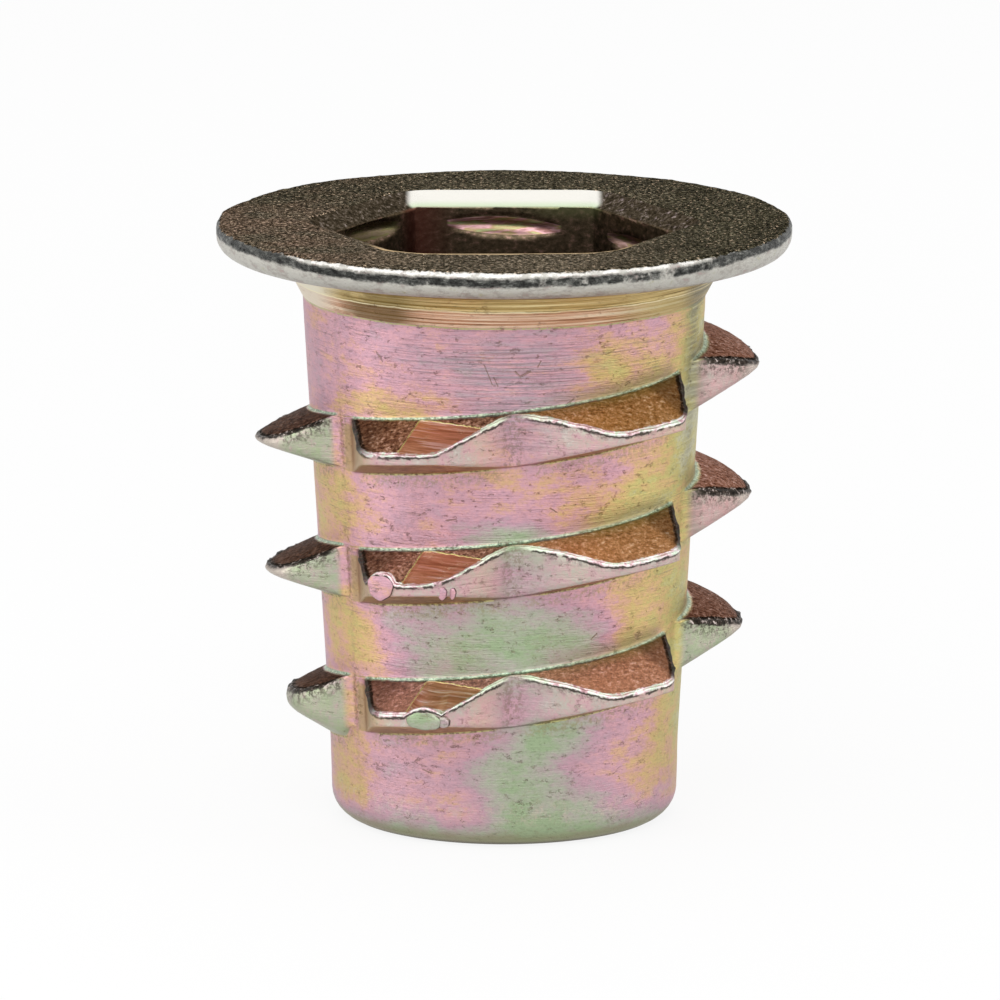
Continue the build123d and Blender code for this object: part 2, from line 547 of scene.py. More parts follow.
def roughen_body(column):
    """Radii and heights of the body with its casting roughness, burrs and parting lines."""
    radius = column.field("radius")
    height = column.field("height")
    bearing = np.broadcast_to(column.bearing, radius.shape)
    crest = column.field("crest")
    stand = column.field("stand")
    ridge = column.field("ridge")
    # Burred lip along the crest
    lip = np.exp(-((crest - 0.015) / 0.065) ** 2) * smooth_step(0.12, 0.4, stand) * ridge
    coarse = surface_noise(bearing, radius, height, 0.30, 3)
    fine = surface_noise(bearing, radius, height, 0.13, 4)
    lift = surface_noise(bearing, radius, height, 0.22, 5)
    radius = radius + lip * (0.032 + 0.040 * coarse + 0.030 * fine)
    height = height + lip * (0.040 * lift + 0.018 * fine)
    # Waves and grain of the casting
    wave = surface_noise(bearing, radius, height, 1.1, 6)
    grain = surface_noise(bearing, radius, height, 0.16, 7)
    above_nose = smooth_step(0.05, 0.5, height)
    radius = radius + above_nose * (0.006 * wave + 0.0035 * grain)
    # Granular ridge flanks are rougher than the core
    flank = smooth_step(0.02, 0.12, -crest) * ridge * smooth_step(0.1, 0.4, stand)
    pebbles = surface_noise(bearing, radius, height, 0.11, 8)
    facet = smooth_step(0.0, 0.05, column.field("facet"))
    height = height + flank * (1 - facet) * 0.010 * pebbles
    # Parting lines of the mould
    for line in (notch, face_gap - 180):
        for turned in (0, 180):
            across = np.radians((bearing - line - turned + 180) % 360 - 180) * radius
            wander = 0.03 * surface_noise(bearing * 0, radius * 0, height, 0.5, 9 + turned)
            bead = np.exp(-((across - wander) / 0.05) ** 2)
            radius = radius + above_nose * bead * 0.010
    return radius, height


def patch_field(patches, bearing, height):
    """Sum of broad patches over the casting."""
    total = np.zeros(bearing.shape)
    for middle, level, half_width, half_height, change in patches:
        across = ((bearing - middle + 180) % 360 - 180) / half_width
        up = (height - level) / half_height
        total += change * np.exp(-0.5 * (across ** 2 + up ** 2) ** 1.3)
    return total


def build_body():
    """The casting's outside from the nose's end face to the flange's underside."""
    corners = [bearing + turned for bearing, _ in outline for turned in (0, 180)]
    bearing = columns(0.68, corners, notch - 180)
    column, shank_start, shank_end = body_rows(bearing)
    radius, height = roughen_body(column)
    count = len(bearing)
    faces = grid_faces(len(column.rows), count, skip_seam=range(shank_start, shank_end))
    rows = range(shank_start, shank_end + 1)
    left = [row * count + count - 1 for row in rows]
    right = [row * count for row in rows]
    seam = slice(shank_start, shank_end + 1)
    faces += zip_seam(height[seam, -1], height[seam, 0], left, right)
    marks = {name: np.clip(column.field(name), -mark_limit, mark_limit) for name in no_ridge}
    marks["tip"] = np.clip(column.field("tip", -mark_limit), -mark_limit, mark_limit)
    around = np.broadcast_to(bearing, radius.shape)
    local = half_turn(around)
    marks["end"] = np.maximum(window(local, (44, 47), (66, 68)), window(local, (124, 126), (143, 151)))
    marks["side"] = window(local, (66, 69), (121, 124))
    marks["notch"] = np.radians(np.abs(from_line(around, notch))) * radius
    marks["parting"] = np.radians(np.abs(from_line(around, face_gap))) * radius
    marks["film"] = patch_field(film_patches, around, height)
    marks["worn"] = patch_field(worn_patches, around, height)
    return add_skin("cast_body", radius, height, bearing, faces, marks)


def clean_lump(work):
    """Drops loose points and turns the faces outwards."""
    loose = [vertex for vertex in work.verts if not vertex.link_faces]
    bmesh.ops.delete(work, geom=loose, context="VERTS")
    bmesh.ops.recalc_face_normals(work, faces=work.faces)


def build_lump(name, bearing, level, stand, half_width, half_height, depth, swell, film):
    """A disc or bead left on the ridge: its face stands a given distance out of the core."""
    angle = radians(bearing)
    outward = np.array([sin(angle), -cos(angle), 0.0])
    along = np.array([cos(angle), sin(angle), 0.0])
    upward = np.array([0.0, 0.0, 1.0])
    base = float(shank_radius(level)) + stand
    count = 40
    # Rings from the middle of the face to the back: share of the half width and swell
    rings = ((0.0, swell), (0.45, swell * 0.96), (0.78, swell * 0.85), (0.90, swell * 0.6),
             (0.97, 0.0), (1.0, -0.04), (1.0, -depth))
    points = []
    for share, out in rings:
        for turn in np.arange(count) * 2 * pi / count:
            reach = share * (1 + 0.05 * sin(3 * turn + level) + 0.03 * sin(7 * turn))
            across = along * half_width * reach * cos(turn)
            up = upward * (level + half_height * reach * sin(turn))
            points.append(outward * (base + out) + across + up)
    faces = []
    for ring in range(1, len(rings) - 1):
        for step in range(count):
            first = ring * count + step
            following = ring * count + (step + 1) % count
            faces.append((first, first + count, following + count, following))
    faces += [(0, count + step, count + (step + 1) % count) for step in range(count)]
    faces.append(tuple(range((len(rings) - 1) * count, len(rings) * count)))
    flat = {"crest": 2.0, "root": 3.0, "foot": 1.0, "facet": -3.0, "under": -3.0, "stand": 0.6, "notch": 3.0,
            "parting": 3.0, "film": film, "worn": 0.0, "tip": -3.0}
    marks = {mark: np.full(len(points), value) for mark, value in flat.items()}
    # A dark line round the face, drawn with the painted shadow line that runs under the lip
    marks["crest"][4 * count:] = 0.085
    return add_piece(name, points, faces, marks, clean_lump)


# Flange

def hexagon_radius(bearing, apothem, corner):
    """Radius of a hexagon with rounded corners whose flats face the front and back."""
    from_flat = np.abs((bearing + 30) % 60 - 30)
    flat = apothem / np.cos(np.radians(from_flat))
    centre = (apothem - corner) / cos(radians(30))
    from_corner = np.radians(30 - from_flat)
    inside = np.maximum(corner ** 2 - (centre * np.sin(from_corner)) ** 2, 0)
    rounded = centre * np.cos(from_corner) + np.sqrt(inside)
    tangent = np.degrees(np.arctan(tan(radians(30)) * (apothem - corner) / apothem))
    return np.where(from_flat > tangent, rounded, flat)


def mouth_hexagon(bearing):
    """Radius of the mouth's hexagon, with its corners cut round."""
    return smooth_min(hexagon_radius(bearing, mouth_apothem, mouth_corner), mouth_limit, 0.12)


def mouth_edge(bearing):
    """Worn edge of the mouth, which spreads more at the front left."""
    wear = 0.07 + 0.26 * np.exp(-(((bearing + 14 + 180) % 360 - 180) / 46) ** 2)
    return np.minimum(mouth_hexagon(bearing) + wear, mouth_wear_limit)


def mouth_drop(bearing):
    """How far the worn mouth edge rounds down: hardly at the back, more at the front."""
    return 0.025 + 0.075 * np.exp(-(bearing / 75) ** 2)


def build_flange():
    """The flange from the neck's end round its rim to the socket's mouth."""
    bearing = columns(0.5, [30 + 60 * corner for corner in range(6)], -180)
    level = 0 * bearing
    wave = surface_noise(bearing, 7.0, level, 1.3, 20)
    rim_wave = surface_noise(bearing, 7.0, level, 0.35, 21)
    rim_fine = surface_noise(bearing, 7.0, level, 0.14, 22)
    wall = flange_radius - 0.012 - 0.010 * (wave + 1) - 0.004 * (rim_wave + 1)
    column = Column(bearing)
    # Underside and the round below the rim
    round_centre = flange_radius - rim_round
    round_top = flange_underside + rim_round
    for radius in between(neck_end_radius(), round_centre, (0.0, 0.3, 0.6, 0.85)):
        column.add(radius, flange_underside, rim=-2.0)
    for radius, height in fillet_arc(round_centre, round_top, rim_round, -90, 0, 9):
        share = (radius - round_centre) / rim_round
        column.add(radius + (wall - flange_radius) * share, height, rim=(height - flange_underside) - 1.0)
    # Rim and its rough top edge
    bevel_height = rim_bevel_height + 0.03 * wave + 0.022 * rim_wave + 0.012 * rim_fine
    bevel_width = rim_bevel_width + 0.05 * wave + 0.03 * rim_wave
    for share in (0.5, 0.9):
        height = round_top + (flange_thickness - rim_round - bevel_height) * share
        column.add(wall, height, rim=-0.30 + 0.3 * share)
    for share in (0.0, 0.15, 0.35, 0.6, 0.85, 1.0):
        bulge = 0.03 * sin(pi * share)
        pit = 0.010 * surface_noise(bearing, wall - share * bevel_width, level + 3 * share, 0.12, 23)
        height = total_height - bevel_height * (1 - share) ** 1.6 + pit * (share < 1) - 0.014
        column.add(wall - bevel_width * share + bulge, height, rim=0.02 + share)
    # Top face
    outer = wall - bevel_width
    mouth = mouth_edge(bearing)
    for share in (0.006, 0.02, 0.05, 0.10, 0.17, 0.25, 0.34, 0.43, 0.52, 0.61, 0.70, 0.78, 0.85, 0.91, 0.96,
                  0.985, 1.0):
        radius = outer + (mouth - outer) * share
        dip = flange_dip + 0.006 * surface_noise(bearing, radius, level, 0.6, 24)
        dip = dip + 0.005 * surface_noise(bearing, radius, level, 0.17, 25)
        column.add(radius, total_height - dip, rim=2.0 + share, mouth=(radius - mouth))
    # Worn edge of the mouth
    inner = mouth_hexagon(bearing)
    for step in range(1, 6):
        angle = radians(90 * step / 5)
        share = sin(angle)
        height = total_height - flange_dip - mouth_drop(bearing) * (1 - cos(angle))
        column.add(mouth + (inner - mouth) * share, height, rim=3.0 + share, mouth=-0.02 * step)
    height = column.field("height")
    rim = column.field("rim")
    around = np.abs(np.broadcast_to(bearing, rim.shape))
    # Height from the middle of the painted dark reflection band, lower at the front than at the sides
    band = height - total_height + 0.265 - 0.125 * smooth_step(28, 62, around)
    marks = {
        "rim": rim,
        "mouth": column.field("mouth", mark_limit),
        "band": np.where(rim < -1.99, -mark_limit, band),
        "front": 1 - smooth_step(44, 66, around),
    }
    faces = grid_faces(len(column.rows), len(bearing))
    return add_skin("flange", column.field("radius"), height, bearing, faces, marks)


# Socket and bore

def thread_radius(bearing, height):
    """Radius that the tap cuts to at a place, inside the bore where it cuts nothing."""
    offset = height - thread_height - thread_pitch * (bearing - thread_bearing) / 360
    offset = (offset / thread_pitch + 0.5) % 1 * thread_pitch - thread_pitch / 2
    return thread_root - np.maximum(np.abs(offset) - thread_root_flat, 0) * sqrt(3)


def inner_wall(bearing, height, base):
    """Radius of the socket's or bore's wall with the tap's grooves, shallower in the thin nose."""
    above_corner = np.clip(nose_round - height, 0, nose_round)
    outside = nose_radius - nose_round + np.sqrt(nose_round ** 2 - above_corner ** 2)
    grooves = np.minimum(thread_radius(bearing, height), np.maximum(outside - thinnest_wall, bore_radius))
    return smooth_max(base, grooves, 0.03)


def thread_heights(bearing, bottom, top):
    """Heights of rows that follow the machine thread between two levels."""
    start = bearing[0]
    first = thread_height + thread_pitch * (start - thread_bearing) / 360
    level = first - thread_pitch * (int((first - bottom) / thread_pitch) + 3)
    rows = []
    while level < top + thread_pitch:
        for share in thread_rows:
            follow = level + share * thread_pitch + thread_pitch * (bearing - start) / 360
            rows.append(np.clip(follow, bottom, top))
        level += thread_pitch
    return rows


class Inside:
    """Rows of (radius, height, groove) of the inside, and the faces between them."""

    def __init__(self, bearing):
        self.bearing = bearing
        self.rows = []
        self.faces = []

    def add(self, rows, shift=0):
        """Adds rows and joins them; shift is how many rows the seam climbs in a turn."""
        count = len(self.bearing)
        base = len(self.rows)
        self.rows += rows
        last = len(rows) - 1
        for row in range(last):
            for col in range(count - 1):
                self.add_quad(base, (row, col), (row, col + 1), (row + 1, col + 1), (row + 1, col))
            low = min(row + shift, last)
            high = min(row + 1 + shift, last)
            self.add_quad(base, (row, count - 1), (low, 0), (high, 0), (row + 1, count - 1))

    def add_quad(self, base, *places):
        """Adds a face that looks inwards, by the rows and columns of its corners."""
        self.faces.append(tuple((base + row) * len(self.bearing) + col for row, col in reversed(places)))

    def add_plain(self, radii, heights):
        """Adds rows that the tap didn't touch."""
        self.add([(radius, height + 0 * self.bearing, 0 * self.bearing - 1)
                  for radius, height in zip(radii, heights)])

    def add_tapped(self, base, bottom, top):
        """Adds a wall with the tap's grooves between two heights."""
        rows = [(inner_wall(self.bearing, height, base), height, thread_radius(self.bearing, height) - base)
                for height in thread_heights(self.bearing, bottom, top)]
        self.add(rows, shift=len(thread_rows))


def build_bore():
    """The inside: mouth chamfer, key socket with the tap's marks, and the tapped bore."""
    corners = [30 + 60 * corner + step for corner in range(6) for step in (-6, -3, -1.5, 0, 1.5, 3, 6)]
    bearing = columns(1.15, corners, -180)
    inside = Inside(bearing)
    socket = hexagon_radius(bearing, socket_apothem, socket_corner)
    # Chamfer at the nose, then the bore up to the socket's floor
    foot_radius = bore_radius + bore_chamfer
    rows = [(foot_radius + 0 * bearing, 0 * bearing, 0 * bearing - 1)]
    for height in (0.05, 0.10, bore_chamfer):
        wall = inner_wall(bearing, height + 0 * bearing, bore_radius)
        groove = thread_radius(bearing, height) - bore_radius
        rows.append((np.maximum(foot_radius - height, wall), height + 0 * bearing, groove))
    inside.add(rows)
    inside.add_tapped(bore_radius, bore_chamfer, socket_floor)
    # Floor of the socket, its walls and the mouth's chamfer
    floor = socket_floor + 0 * bearing
    shares = (0.0, 0.3, 0.7, 1.0)
    inner = inner_wall(bearing, floor, bore_radius)
    outer = inner_wall(bearing, floor, socket)
    inside.add_plain(between(inner, outer, shares), [floor] * len(shares))
    inside.add_tapped(socket, socket_floor, mouth_foot)
    shares = (0.0, 0.04, 0.25, 0.5, 0.75, 0.96, 1.0)
    foot = inner_wall(bearing, mouth_foot + 0 * bearing, socket)
    mouth_top = total_height - flange_dip - mouth_drop(bearing)
    radii = between(foot, mouth_hexagon(bearing), shares)
    inside.add_plain(radii, between(mouth_foot, mouth_top, shares))
    radius, height, groove = (np.array(values) for values in zip(*inside.rows))
    return add_skin("bored_socket", radius, height, bearing, inside.faces, {"groove": groove})


# Materials

# Paints of the materials, as colours of the metal's reflection
paints = {
    # Shank
    "cream_edge": (0.78, 0.66, 0.52),
    "worn_grey": (0.42, 0.41, 0.44),
    "scratch": (0.20, 0.16, 0.17),
    "fleck": (0.28, 0.20, 0.13),
    "dent": (0.24, 0.17, 0.11),
    "pit": (0.12, 0.09, 0.06),
    "crack": (0.26, 0.18, 0.10),
    "olive_painted_shade": (0.16, 0.15, 0.11),
    # Flanks of the ridge
    "flank_painted_light": (0.80, 0.38, 0.12),
    "rosy_filter": (1.0, 0.85, 1.0),
    "rosy_veil": (1.0, 0.80, 0.95),
    "root_fillet_shade": (0.26, 0.22, 0.06),
    "flank_shadow": (0.040, 0.024, 0.014),
    "gouge": (0.95, 0.78, 0.74),
    "facet_edge_highlight": (0.62, 0.60, 0.22),
    # Lands of the ridge
    "crest_speck": (0.08, 0.065, 0.05),
    "pale_burr": (0.66, 0.68, 0.56),
    "burr_shadow": (0.05, 0.045, 0.035),
    "peach": (0.74, 0.44, 0.30),
    # Lines along the ridge
    "lip_shadow_line": (0.040, 0.036, 0.030),
    "lip_green": (0.66, 0.84, 0.58),
    "lobe_tip": (0.60, 0.52, 0.46),
    "end_wall": (0.46, 0.33, 0.16),
    "end_shade_black": (0.020, 0.014, 0.010),
    "end_shade_brown": (0.14, 0.09, 0.06),
    "foot_dirt": (0.30, 0.25, 0.12),
    "notch_dirt": (0.24, 0.18, 0.13),
    "parting_dirt": (0.34, 0.24, 0.15),
    "root_shade": (0.30, 0.25, 0.13),
    # Neck and nose
    "copper_dark_reflection": (0.16, 0.10, 0.03),
    "gold_dark_reflection": (0.20, 0.14, 0.04),
    "lemon": (0.46, 0.42, 0.13),
    "pale_copper": (0.80, 0.70, 0.56),
    "pale_gold": (0.84, 0.78, 0.62),
    "turned_glint": (0.95, 0.86, 0.58),
    "neck_line": (0.50, 0.52, 0.22),
    "nose_dab": (0.62, 0.50, 0.42),
    "nose_rim_shade": (0.27, 0.26, 0.14),
    "nose_end_shade": (0.07, 0.055, 0.035),
    # Flange
    "mauve_filter": (1.0, 0.72, 0.74),
    "far_sheen_filter": (0.56, 0.60, 0.56),
    "top_glint": (0.75, 0.58, 0.42),
    "rim_highlight": (0.86, 0.84, 0.80),
    "mouth_highlight": (0.80, 0.60, 0.36),
    # Socket and bore
    "wall_olive": (0.20, 0.22, 0.10),
    "wall_red": (0.16, 0.045, 0.035),
    "cut_olive": (0.11, 0.10, 0.045),
    "crumb": (0.62, 0.50, 0.50),
    "chamfer_highlight": (0.86, 0.84, 0.78),
    "chamfer_green_highlight": (0.62, 0.76, 0.50),
}

# Colours that a rough surface takes on over a noise or the film's thickness: place and colour
tones = {
    # The chromate film as it thickens, from bare silver grey to green
    "film": (
        (0.00, (0.60, 0.58, 0.40)), (0.14, (0.58, 0.52, 0.20)), (0.27, (0.68, 0.48, 0.22)),
        (0.38, (0.70, 0.42, 0.30)), (0.48, (0.67, 0.38, 0.43)), (0.60, (0.57, 0.35, 0.42)),
        (0.72, (0.50, 0.40, 0.40)), (0.85, (0.45, 0.46, 0.37)), (1.00, (0.36, 0.46, 0.28)),
    ),
    "grain": ((0.30, (0.58, 0.56, 0.56)), (0.48, (0.95, 0.95, 0.95)), (0.70, (1.0, 1.0, 1.0))),
    # Granular top flanks, whose brown is a painted reflection of the dark flange above
    "bright_flank": (
        (0.34, (0.12, 0.050, 0.014)), (0.45, (0.40, 0.20, 0.070)),
        (0.55, (0.64, 0.36, 0.16)), (0.65, (1.0, 0.84, 0.62)),
    ),
    "dark_flank": (
        (0.34, (0.030, 0.014, 0.010)), (0.46, (0.20, 0.095, 0.055)),
        (0.56, (0.48, 0.27, 0.17)), (0.66, (0.95, 0.72, 0.60)),
    ),
    "side_flank": (
        (0.34, (0.030, 0.020, 0.015)), (0.48, (0.10, 0.062, 0.046)),
        (0.60, (0.26, 0.16, 0.12)), (0.72, (0.70, 0.50, 0.42)),
    ),
    "mauve_flank": (
        (0.36, (0.10, 0.045, 0.030)), (0.48, (0.34, 0.17, 0.12)),
        (0.58, (0.56, 0.32, 0.25)), (0.68, (0.95, 0.72, 0.66)),
    ),
    "facet": (
        (0.32, (0.42, 0.20, 0.11)), (0.50, (0.68, 0.37, 0.23)),
        (0.60, (0.80, 0.50, 0.34)), (0.66, (0.98, 0.86, 0.78)),
    ),
    "land": (
        (0.34, (0.30, 0.18, 0.16)), (0.42, (0.66, 0.42, 0.44)), (0.50, (0.58, 0.46, 0.40)),
        (0.60, (0.52, 0.52, 0.44)), (0.68, (0.70, 0.68, 0.58)),
    ),
    "green_land": ((0.32, (0.56, 0.40, 0.42)), (0.46, (0.44, 0.46, 0.36)), (0.62, (0.38, 0.47, 0.30))),
    "pink_land": ((0.32, (0.62, 0.34, 0.36)), (0.50, (0.56, 0.38, 0.38)), (0.66, (0.48, 0.42, 0.38))),
    "ochre": ((0.35, (0.34, 0.19, 0.08)), (0.55, (0.60, 0.38, 0.18)), (0.70, (0.74, 0.60, 0.32))),
    # Painted highlight of the lip, partly worn bright zinc
    "lip": (
        (0.34, (0.50, 0.30, 0.32)), (0.44, (0.86, 0.62, 0.66)),
        (0.52, (0.90, 0.88, 0.84)), (0.64, (0.66, 0.78, 0.62)),
    ),
    "dark_lip": ((0.40, (0.012, 0.010, 0.008)), (0.56, (0.06, 0.045, 0.035)), (0.66, (0.70, 0.60, 0.56))),
    "root_line": ((0.40, (0.18, 0.22, 0.15)), (0.50, (0.36, 0.50, 0.38)), (0.62, (0.62, 0.72, 0.52))),
    "foot_line": ((0.42, (0.16, 0.12, 0.05)), (0.54, (0.58, 0.54, 0.22))),
    "gold": ((0.36, (0.24, 0.16, 0.04)), (0.50, (0.60, 0.44, 0.18)), (0.66, (0.92, 0.80, 0.44))),
    "copper": ((0.36, (0.22, 0.12, 0.05)), (0.48, (0.66, 0.36, 0.22)), (0.64, (0.98, 0.84, 0.64))),
    # Dark grain of the flange's top, a painted dark reflection
    "top_grain_and_reflection": (
        (0.36, (0.013, 0.012, 0.009)), (0.47, (0.065, 0.056, 0.038)),
        (0.56, (0.24, 0.20, 0.14)), (0.64, (0.90, 0.76, 0.60)),
    ),
    "cloud": ((0.3, (0.65, 0.65, 0.65)), (0.7, (1.0, 1.0, 1.0))),
    # Pale rim, a painted reflection of the floor
    "rim": (
        (0.34, (0.44, 0.33, 0.31)), (0.44, (0.42, 0.40, 0.36)), (0.52, (0.56, 0.54, 0.49)),
        (0.60, (0.52, 0.51, 0.46)), (0.70, (0.45, 0.41, 0.27)),
    ),
    "rim_reflection_band": (
        (0.38, (0.018, 0.018, 0.017)), (0.50, (0.055, 0.056, 0.052)),
        (0.62, (0.17, 0.17, 0.155)), (0.74, (0.50, 0.50, 0.46)),
    ),
    "wall": ((0.35, (0.045, 0.035, 0.020)), (0.55, (0.13, 0.095, 0.060)), (0.72, (0.36, 0.22, 0.18))),
    "cut": (
        (0.34, (0.22, 0.11, 0.10)), (0.48, (0.55, 0.32, 0.34)),
        (0.58, (0.34, 0.24, 0.13)), (0.70, (0.36, 0.42, 0.20)),
    ),
    "chamfer": (
        (0.36, (0.030, 0.025, 0.018)), (0.50, (0.070, 0.057, 0.040)),
        (0.60, (0.16, 0.13, 0.10)), (0.68, (0.45, 0.38, 0.36)),
    ),
}

# Short scratches on the front: x, z, angle in degrees from the level, length and width
strokes = (
    (0.34, 12.05, -48.0, 0.24, 0.035),
    (0.53, 12.07, 28.0, 0.30, 0.035),
    (-0.38, 12.02, -68.0, 0.62, 0.022),
    (-0.20, 11.86, -66.0, 0.30, 0.020),
    (-3.05, 12.30, -55.0, 0.30, 0.025),
    (0.86, 12.30, 62.0, 0.20, 0.025),
    (1.60, 11.30, 40.0, 0.28, 0.025),
    (-1.30, 8.35, 12.0, 0.30, 0.025),
    (1.20, 8.60, -35.0, 0.22, 0.025),
    (2.20, 5.30, 40.0, 0.24, 0.025),
    (-1.90, 1.90, -20.0, 0.26, 0.025),
)


class Value:
    """A number or colour that a material's nodes work out, with plain arithmetic."""

    def __init__(self, shader, socket):
        self.shader = shader
        self.socket = socket

    def __add__(self, other):
        return self.shader.math("ADD", self, other)

    def __sub__(self, other):
        return self.shader.math("SUBTRACT", self, other)

    def __rsub__(self, other):
        return self.shader.math("SUBTRACT", other, self)

    def __mul__(self, other):
        return self.shader.math("MULTIPLY", self, other)

    def maximum(self, other):
        """The larger of two numbers."""
        return self.shader.math("MAXIMUM", self, other)

    def absolute(self):
        """The number without its sign."""
        return self.shader.math("ABSOLUTE", self)

    def ramp(self, low, high, start=0.0, end=1.0):
        """Smooth step from start, where this number is low, to end, where it is high."""
        inputs = {"Value": self, "From Min": low, "From Max": high, "To Min": start, "To Max": end}
        return self.shader.add("MapRange", inputs, interpolation_type="SMOOTHSTEP")

    def band(self, low, high, soft):
        """1 between low and high, and 0 outside, with soft edges."""
        return self.ramp(low - soft, low + soft) * self.ramp(high - soft, high + soft, 1.0, 0.0)

    def blend(self, first, second):
        """The first number where this one is 0, and the second where it is 1."""
        return self.shader.add("Mix", {0: self, 2: first, 3: second})

    def tones(self, name):
        """Named tones over this number."""
        ramp = self.shader.tree.nodes.new("ShaderNodeValToRGB")
        elements = ramp.color_ramp.elements
        stops = tones[name]
        while len(elements) < len(stops):
            elements.new(0.5)
        for element, (position, colour) in zip(elements, stops):
            element.position = position
            element.color = (*colour, 1.0)
        self.shader.set(ramp.inputs[0], self)
        return Value(self.shader, ramp.outputs[0])

    def under(self, layer, share, mode="MIX"):
        """This colour under a layer, a paint's name or a colour, that hides a share of it."""
        return self.shader.mix(share, self, layer, mode)


class Shader:
    """Builds the nodes of one material."""

    def __init__(self, name):
        self.material = bpy.data.materials.new(name)
        self.material.use_nodes = True
        self.tree = self.material.node_tree
        self.tree.nodes.clear()
        output = self.tree.nodes.new("ShaderNodeOutputMaterial")
        self.surface = self.tree.nodes.new("ShaderNodeBsdfPrincipled")
        self.tree.links.new(self.surface.outputs[0], output.inputs[0])
        place = self.place()
        self.x, self.y, self.z = (self.add("SeparateXYZ", {0: place}, output=axis) for axis in range(3))
        self.found = {}

    def set(self, socket, value):
        """Sets a socket to a number, a colour or a paint, or links it to a value of the nodes."""
        if isinstance(value, Value):
            self.tree.links.new(value.socket, socket)
        elif isinstance(value, str):
            socket.default_value = (*paints[value], 1.0)
        else:
            socket.default_value = value

    def add(self, kind, inputs, output=0, **settings):
        """A new node with its settings and inputs; returns one of its outputs."""
        node = self.tree.nodes.new("ShaderNode" + kind)
        for name, value in settings.items():
            setattr(node, name, value)
        for name, value in inputs.items():
            self.set(node.inputs[name], value)
        return Value(self, node.outputs[output])

    def mark(self, name):
        """A mark of the mesh."""
        if name not in self.found:
            self.found[name] = self.add("Attribute", {}, "Fac", attribute_name=name)
        return self.found[name]

    def marks(self, *names):
        """Several marks of the mesh."""
        return [self.mark(name) for name in names]

    def place(self, stretch=(1, 1, 1)):
        """Object coordinates in millimetres, stretched."""
        coordinates = self.add("TexCoord", {}, "Object")
        return self.add("Mapping", {"Vector": coordinates, "Scale": [value / MM for value in stretch]})

    def noise(self, scale, stretch=(1, 1, 1), detail=2.0, rough=0.5):
        """Noise between about 0 and 1; scale is its cells in a millimetre."""
        inputs = {"Vector": self.place(stretch), "Scale": scale, "Detail": detail, "Roughness": rough}
        return self.add("TexNoise", inputs)

    def math(self, operation, *numbers):
        """One math node."""
        return self.add("Math", dict(enumerate(numbers)), operation=operation)

    def mix(self, share, first, second, mode="MIX"):
        """Mix of two colours."""
        return self.add("Mix", {0: share, 6: first, 7: second}, 2, data_type="RGBA", blend_type=mode)

    def bump(self, height, distance, strength, under=None):
        """Bump of a height between 0 and 1 that stands for a distance in millimetres."""
        inputs = {"Strength": strength, "Distance": distance * MM, "Height": height}
        if under is not None:
            inputs["Normal"] = under
        return self.add("Bump", inputs)

    def stroke(self, x, z, angle, length, width):
        """1 on a short straight scratch on the front, given in X and Z."""
        across = self.x - x
        up = self.z - z
        turn = radians(angle)
        along = across * cos(turn) + up * sin(turn)
        aside = up * cos(turn) - across * sin(turn)
        inside = along.absolute().ramp(length * 0.38, length * 0.5, 1.0, 0.0)
        thin = aside.absolute().ramp(width * 0.4, width * 0.8, 1.0, 0.0)
        return inside * thin * self.y.ramp(0.0, -0.1)

    def finish(self, colour, roughness, tint, normal):
        """Connects the surface; tint is how much of the glancing reflection stays."""
        grey = self.add("CombineColor", {0: tint, 1: tint, 2: tint})
        inputs = self.surface.inputs
        inputs["Metallic"].default_value = 1.0
        for name, value in (("Base Color", colour), ("Roughness", roughness), ("Specular Tint", grey)):
            self.set(inputs[name], value)
        self.set(inputs["Normal"], normal)
        return self.material


